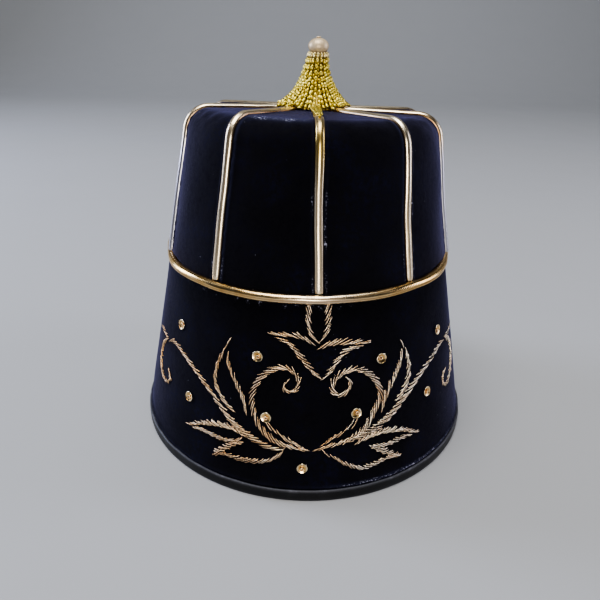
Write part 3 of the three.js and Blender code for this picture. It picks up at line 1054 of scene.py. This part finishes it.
def makeEmbroidery(name, turned, seed):
    shape = purlShape
    rng = np.random.default_rng(seed)
    flat = np.array([path for row in stems for path in stitchesOf(*row, rng)])
    count = len(flat)
    share = np.linspace(0, 1, shape["rings"])
    stray = shape["stray"]
    arch = np.sin(np.pi * share) ** shape["arch"]
    raised = shape["raised"] * (np.arange(count)[:, None] % 2)  # those that jut out lie on top
    high = shape["high"] + raised + rng.normal(0, stray["high"], (count, 1))
    points, facing = rollUp(flat, high * arch + 0.02)
    about = np.array(Matrix.Rotation(math.radians(turned), 3, "Z")).T
    points, facing = points @ about, facing @ about
    thick = shape["thick"] / 2 * rng.uniform(*shape["thickness"], (count, 1))
    ends = tapered(shape["rings"], shape["ends"])
    grid = sweep(points, facing, roundSection(thick * ends, shape["sides"]))
    middle = points.mean(1, keepdims=True)
    # Painted light: the wire is drawn lighter towards the wearer's left of the motif.
    tone = shape["tone"] + shape["litToLeft"] * facing[:, :1, 0] * about[0, 0]
    tone = tone + waves(middle, *shape["toneWaves"], seed) + rng.normal(0, stray["tone"], (count, 1))
    marks = {
        "along": distances(points)[..., None],
        "roll": rollMark(shape["sides"]),
        "tone": np.clip(tone, 0, 1)[..., None],
    }
    makePiece(name, grid, [purl], marks=marks)
    print(name, count, "stitches")


makeEmbroidery("embroideryFront", 0.0, purlShape["seed"])
makeEmbroidery("embroideryBack", purlShape["backTurn"], purlShape["seed"] + 1)


# Spangles: cupped discs, each held by a small loop of the coiled wire.
spangleShape = {
    "radius": 2.75,
    "cup": 0.55,
    "sheet": 0.22,
    "lip": 0.2,
    "sides": 28,
    "lift": 0.12,  # off the velvet
    "bright": (0.70, 0.45),  # mm inside the rim where its painted highlight ring begins and is full
    "loopRadius": 0.72,
    "loopThick": 0.34,
    "loopHigh": 0.62,
    "loopTilt": 0.22,
    "loopSteps": 20,
    "loopSides": 8,
    "loopLength": 4.5,
    "loopTone": 0.35,
    "off": 0.45,  # how far the loop sits from the middle
    "seed": 200,
}


def makeSpangleFinish():
    finish = Finish("goldDisc", Metallic=1.0)
    wearAndHighlight = finish.patches(1.6, 3.0, 0.45, 0.70)
    body = finish.mix(wearAndHighlight, (0.80, 0.52, 0.20), (0.50, 0.27, 0.08))
    # Painted highlight: a lighter ring near the rim.
    colour = finish.mix(finish.mark("rim"), body, (0.96, 0.84, 0.58))
    normal = finish.bump(finish.noise(1.3, 2.0), 0.10, 0.5)
    return finish.complete(colour, (wearAndHighlight, 0.0, 1.0, 0.20, 0.36), normal)


goldDisc = makeSpangleFinish()


def makeSpangle(node, number):
    shape = spangleShape
    rng = np.random.default_rng(shape["seed"] + number)
    low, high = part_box(node)
    middle = (low + high) / 2 / mm
    turn = turnOf(middle.x, middle.y)
    out = outwardAt(turn, coneAngle)
    right = around(1, turn + 90, 0)
    up = np.cross(out, right)
    base = around(coneRadius(middle.z), turn, middle.z) + shape["lift"] * out

    def place(local):
        return base + local[..., :1] * right + local[..., 1:2] * up + local[..., 2:] * out

    size, cup, sheet, lip = (shape[key] for key in ("radius", "cup", "sheet", "lip"))
    radii = np.linspace(0.02, size - lip, 7)
    top = [(r, sheet + cup * (r / size) ** 2) for r in radii]
    rim = corner(size - lip, sheet + cup - lip * 0.5, lip, 80, -100, 6)
    bottom = [(r, cup * (r / size) ** 2) for r in radii[::-2]]
    profile = np.array(top + rim + bottom)
    disc = place(revolve(profile, evenTurns(shape["sides"])))
    outer, inner = shape["bright"]
    bright = smoothStep(profile[:, 0], size - outer, size - inner)[:, None]
    swing = rng.uniform(0, 360)
    centre = np.array([math.cos(swing), math.sin(swing)]) * shape["off"]
    angles = np.radians(evenTurns(shape["loopSteps"]))
    ring = np.stack([
        centre[0] + shape["loopRadius"] * np.cos(angles),
        centre[1] + shape["loopRadius"] * np.sin(angles),
        shape["loopHigh"] + shape["loopTilt"] * np.sin(angles + swing),
    ], -1)[None]
    upward = np.broadcast_to(np.array([0.0, 0.0, 1.0]), ring.shape)
    radii = shape["loopThick"] * np.ones(ring.shape[:2])
    loop = place(sweep(ring, upward, roundSection(radii, shape["loopSides"]), loop=True))
    return disc, loop, bright


def makeSpangles():
    shape = spangleShape
    along = np.linspace(0, shape["loopLength"], shape["loopSteps"], endpoint=False)
    nodes = [f"spangle_{side}_{number}" for side in ("front", "back") for number in range(1, 10)]
    for number, node in enumerate(nodes):
        disc, loop, bright = makeSpangle(node, number)
        words = node.split("_")
        name = words[0] + words[1].capitalize() + words[2]
        makePiece(name, disc, [goldDisc], [node], {"rim": bright})
        marks = {"along": along[:, None], "roll": rollMark(shape["loopSides"]), "tone": shape["loopTone"]}
        makePiece(name + "Loop", loop, [purl], marks=marks, loop=True)


makeSpangles()
print("spangles made")


# The tassel: strings of oval beads that hang from under the large bead and lie on the top.
tasselShape = {
    "outline": [  # height and radius of its outer form, from the hem up
        (180.7, 19.3), (183.4, 16.0), (187.6, 12.1), (192.8, 9.0), (199.4, 6.6), (203.8, 5.9), (206.0, 5.4),
    ],
    "footLean": 0.3,  # sideways shift at the hem and at the top
    "topLean": 3.0,
    "upright": (184, 200),  # heights over which it stops following the sloping top
    "beadRadius": 0.86,
    "beadHalf": 1.44,
    "pitch": 2.95,
    "strings": 17,  # that show from the top; as many of each of the two later tiers lie between them
    "core": 2.2,  # how far inside the outer form a plain core stops the light
    "tiers": [  # where a tier comes to the outside, where its beads begin, and its place between strings
        {"out": 0.0, "from": 0.0, "top": 0.0, "hem": 0.0, "loose": 0.0},
        {"out": 0.46, "from": 0.10, "top": 0.5, "hem": 0.34, "loose": 1.0},
        {"out": 0.76, "from": 0.50, "top": 0.6, "hem": 0.67, "loose": 1.0},
    ],
    "under": 1.3,  # how far inside a tier lies before it comes out
    # Strings that run on along the front strip: mm from its middle, where they begin and end in
    # mm from the crown's middle, and how deep they sink past touching it.
    "drape": ((-1.9, 21.0, 52.5, 0.65), (0.0, 21.9, 58.0, 0.15), (1.9, 22.8, 52.5, 0.65)),
    "sway": 0.6,  # degrees
    "longer": (-1.4, 0.3),  # mm
    "slack": (-0.3, 0.5, 0.14),  # of the first bead, and how much more for each bead
    "lengths": (0.94, 1.03),  # share of a bead's size
    "radii": (0.95, 1.05),
    "roundness": (1.25, 2.6, 0.8, 0.7),  # reach of the end rings in radians, and how the ends close
    "rings": 8,
    "sides": 12,
    "coreSides": 24,
    "seed": 5,
}


def makeBeadFinish():
    finish = Finish("goldBead", Metallic=0.92, Specular_IOR_Level=0.4)
    body = finish.ramp(finish.mark("tone"), [
        (0.0, (0.54, 0.40, 0.05)), (0.5, (0.73, 0.57, 0.09)), (1.0, (0.86, 0.73, 0.17)),
    ])
    paled = finish.mix(finish.mark("pale") * 0.45, body, (0.93, 0.79, 0.54))
    wearAndHighlight = finish.patches(1.2, 2.0, 0.55, 0.72)
    # Painted shade where the beads meet end to end.
    endShade = finish.between(finish.mark("end"), 0.50, 0.95)
    rubbed = finish.mix(wearAndHighlight * 0.3, paled, (0.56, 0.42, 0.12))
    shaded = finish.mix(finish.mark("depth") * 0.75, rubbed, (0.24, 0.17, 0.03))
    colour = finish.mix(endShade * 0.75, shaded, (0.20, 0.14, 0.03))
    normal = finish.bump(finish.noise(0.9, 1.0), 0.01, 0.1)
    return finish.complete(colour, (wearAndHighlight, 0.0, 1.0, 0.30, 0.36), normal)


goldBead = makeBeadFinish()


def makeTassel():
    shape = tasselShape
    rng = np.random.default_rng(shape["seed"])
    outline = smoothPath(shape["outline"][::-1], 12)  # from the top down: height, radius
    way = unit(np.gradient(outline, axis=0))
    normal = np.stack([way[:, 1], -way[:, 0]], -1)
    inset = outline - shape["beadRadius"] * normal
    far = distances(inset)
    rest = cap["topHeight"] + shape["beadRadius"] + 0.1
    heights = [shape["outline"][0][0], shape["outline"][-1][0]]
    leans = [shape["footLean"], shape["topLean"]]
    places, depths = [], []

    def spotOn(turns, distance, under):  # a point of a string, so many mm down from the top
        beyond = max(distance - far[-1], 0)
        height = np.interp(distance, far, inset[:, 0])
        radius = np.interp(distance, far, inset[:, 1]) - under + beyond
        point = around(radius, turns, height) + np.array([np.interp(height, heights, leans), 0, 0])
        apart = nearStrip(turnOf(point[0], point[1]), crownLength)[1]
        aside = abs(math.hypot(point[0], point[1]) * math.radians(apart))
        onStrip = (stripShape["high"] - 0.1) * (1 - smoothStep(aside, 1.6, 3.4))
        point[2] = max(point[2], rest + onStrip)
        return point

    least, most, each = shape["slack"]
    for tier in shape["tiers"]:
        for k in range(shape["strings"]):
            sway, longer = rng.normal(0, shape["sway"]), rng.uniform(*shape["longer"])
            first = tier["from"] * far[-1] + rng.uniform(0, tier["loose"]) * shape["pitch"]
            spots = np.arange(0.5 * shape["beadHalf"] + first, far[-1] + longer, shape["pitch"])
            spots[1:] += rng.uniform(least, most) + each * rng.uniform(0, 1) * np.arange(1, len(spots))
            for spot in spots:
                share = spot / far[-1]
                between = np.interp(share, [tier["out"], 1], [tier["top"], tier["hem"]])
                turn = 360 / shape["strings"] * (k + between) + sway
                under = shape["under"] * (1 - smoothStep(share, tier["out"] - 0.2, tier["out"] + 0.04))
                places.append([spotOn(turn, spot + reach * shape["beadHalf"], under) for reach in (-1, 1)])
                depths.append(under / shape["under"])
    front = stripTurns(crownLength)[2]  # the strip nearest the front
    for offset, start, reach, sunk in shape["drape"]:
        raised = stripShape["high"] + shape["beadRadius"] - sunk
        for spot in np.arange(start, reach, shape["pitch"]):
            ends = []
            for end in (spot - shape["beadHalf"], spot + shape["beadHalf"]):
                aside = offset * (1 - 0.5 * smoothStep(end, 26, reach))
                radius, height, faces = crownOutline(crownLength - end)
                point = around(radius, front, height) + raised * outwardAt(front, faces)
                ends.append(point + aside * around(1, front + 90, 0))
            places.append(ends)
            depths.append(0.0)
    places = np.array(places)
    upright = smoothStep(places[..., 2], *shape["upright"])
    places = settled(places, 1 - upright)
    centres, ways = places.mean(1), unit(places[:, 1] - places[:, 0])
    count = len(centres)
    half = shape["beadHalf"] * rng.uniform(*shape["lengths"], (count, 1))
    end, power, closing, blunt = shape["roundness"]
    reach = np.sin(np.linspace(-end, end, shape["rings"]))
    paths = centres[:, None] + (half * reach)[..., None] * ways[:, None]
    radii = shape["beadRadius"] * rng.uniform(*shape["radii"], (count, 1))
    radii = radii * (1 - np.abs(reach) ** power * closing) ** blunt
    aside = unit(np.cross(ways, rng.normal(size=(count, 3))))
    outward = np.broadcast_to(aside[:, None], paths.shape)
    grid = sweep(paths, outward, roundSection(radii, shape["sides"]))
    high = centres[:, 2, None, None]
    marks = {
        "tone": rng.uniform(0, 1, (count, 1, 1)),
        "end": np.abs(reach)[:, None] ** 4,
        "pale": smoothStep(high, heights[1] - 5, heights[1] - 1),
        "depth": np.array(depths)[:, None, None],
    }
    makePiece("tasselBeads", grid, [goldBead], ["tassel"], marks)
    core = outline - shape["core"] * normal
    core = np.maximum(core, [cap["topHeight"] + 0.6, 1.0])[:, ::-1]
    middle = around(0, 0, 0) + np.interp(core[:, 1], heights, leans)[:, None, None] * np.array([1, 0, 0])
    solid = revolve(core, evenTurns(shape["coreSides"])) + middle
    upright = smoothStep(solid[..., 2], *shape["upright"])
    # The core takes the beads' darkest tone and their painted shade in full.
    marks = {"tone": 0.0, "end": 1.0, "pale": 0.0, "depth": 1.0}
    makePiece("tasselCore", settled(solid, 1 - upright), [goldBead], marks=marks)
    print("tassel made", count, "beads")


makeTassel()


# The large bead and the small one that holds it.
def makePearlFinish():
    finish = Finish("pearl", Metallic=0.40, Specular_IOR_Level=0.5)
    cloud = finish.patches(4.5, 3.0, 0.35, 0.7)
    # Painted shade: the base colour darkens towards the edges as seen.
    facing = finish.node("ShaderNodeLayerWeight", {}, {"Blend": 0.35}, "Facing")
    body = finish.mix(cloud, (0.74, 0.57, 0.36), (0.88, 0.73, 0.51))
    colour = finish.mix(facing * 0.85, body, (0.34, 0.24, 0.11))
    normal = finish.bump(finish.noise(2.5, 2.0), 0.05, 0.3)
    return finish.complete(colour, (cloud, 0.0, 1.0, 0.44, 0.54), normal)


def makeBall(name, node, finish, rings, sides, lower=0.0):
    low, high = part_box(node)
    middle = np.array((low + high) / 2) / mm
    radius, half = (high.x - low.x) / 2 / mm, (high.z - low.z) / 2 / mm
    rise = np.radians(np.linspace(88, -88, rings))
    profile = np.stack([radius * np.cos(rise), half * np.sin(rise)], -1)
    middle[2] -= lower
    grid = revolve(profile, evenTurns(sides)) + middle
    makePiece(name, grid, [finish], [node])


pearl = makePearlFinish()
makeBall("pearlBead", "finial_bead", pearl, 40, 56)
makeBall("stopperBead", "finial_stopper", pearl, 14, 20, lower=0.4)
print("top beads made")


# The studio.
studio = {
    "world": (0.030, 0.031, 0.036),
    "floor": (0.40, 0.40, 0.40),
    "backdrop": {"from": 1.3, "bend": 0.8, "high": 3.0, "half": 5.0, "steps": 12},  # in metres
    "look": "AgX - Medium High Contrast",
    "lights": {  # place, what it faces and its size, in metres, its power in watts and its tint
        "front": ((0.06, -1.55, 0.30), (0, 0, 0.11), (0.42, 0.5), 10, (1.0, 0.97, 0.94)),
        "top": ((-0.15, -0.25, 1.6), (0, 0, 0.11), (0.9, 0.9), 22, (1.0, 1.0, 1.0)),
        "left": ((-1.25, 0.35, 0.50), (0, 0, 0.11), (0.45, 0.8), 16, (0.66, 0.74, 1.0)),
        "right": ((1.20, 0.10, 0.40), (0, 0, 0.11), (0.35, 0.8), 6, (0.80, 0.81, 1.0)),
        "back": ((0.0, 0.5, 2.4), (0.0, 1.9, 0.3), (2.0, 0.6), 16, (0.86, 0.92, 1.0)),
    },
}


def makeStudio():
    world = bpy.data.worlds.new("studio")
    world.use_nodes = True
    world.node_tree.nodes["Background"].inputs["Color"].default_value = (*studio["world"], 1)
    bpy.context.scene.world = world
    bpy.context.scene.view_settings.look = studio["look"]
    for name, (place, faced, size, power, tint) in studio["lights"].items():
        data = bpy.data.lights.new(name, "AREA")
        data.shape = "RECTANGLE"
        data.size, data.size_y = size
        data.energy = power
        data.color = tint
        lamp = bpy.data.objects.new(name, data)
        lamp.location = place
        lamp.rotation_euler = (Vector(faced) - lamp.location).to_track_quat("-Z", "Y").to_euler()
        bpy.context.scene.collection.objects.link(lamp)


def makeFloor():
    finish = Finish("floor", Specular_IOR_Level=0.3)
    cloud = finish.noise(90, 3.0)
    finish.set(
        Base_Color=finish.mix(cloud * 0.15, studio["floor"], (0.33, 0.33, 0.34)),
        Roughness=finish.between(cloud, 0.3, 0.7, 0.65, 0.8),
    )
    drop = studio["backdrop"]
    line = [
        (-drop["half"], 0.0),
        *corner(drop["from"], drop["bend"], drop["bend"], -90, 0, drop["steps"]),
        (drop["from"] + drop["bend"], drop["high"]),
    ]
    points = [(x, y, z) for y, z in line for x in (-drop["half"], drop["half"])]
    faces = [(k, k + 1, k + 3, k + 2) for k in range(0, 2 * len(line) - 2, 2)]
    mesh = bpy.data.meshes.new("floor")
    mesh.from_pydata(points, [], faces)
    mesh.shade_smooth()
    mesh.materials.append(finish.material)
    floor = bpy.data.objects.new("floor", mesh)
    bpy.context.scene.collection.objects.link(floor)


makeStudio()
makeFloor()
print("studio made")
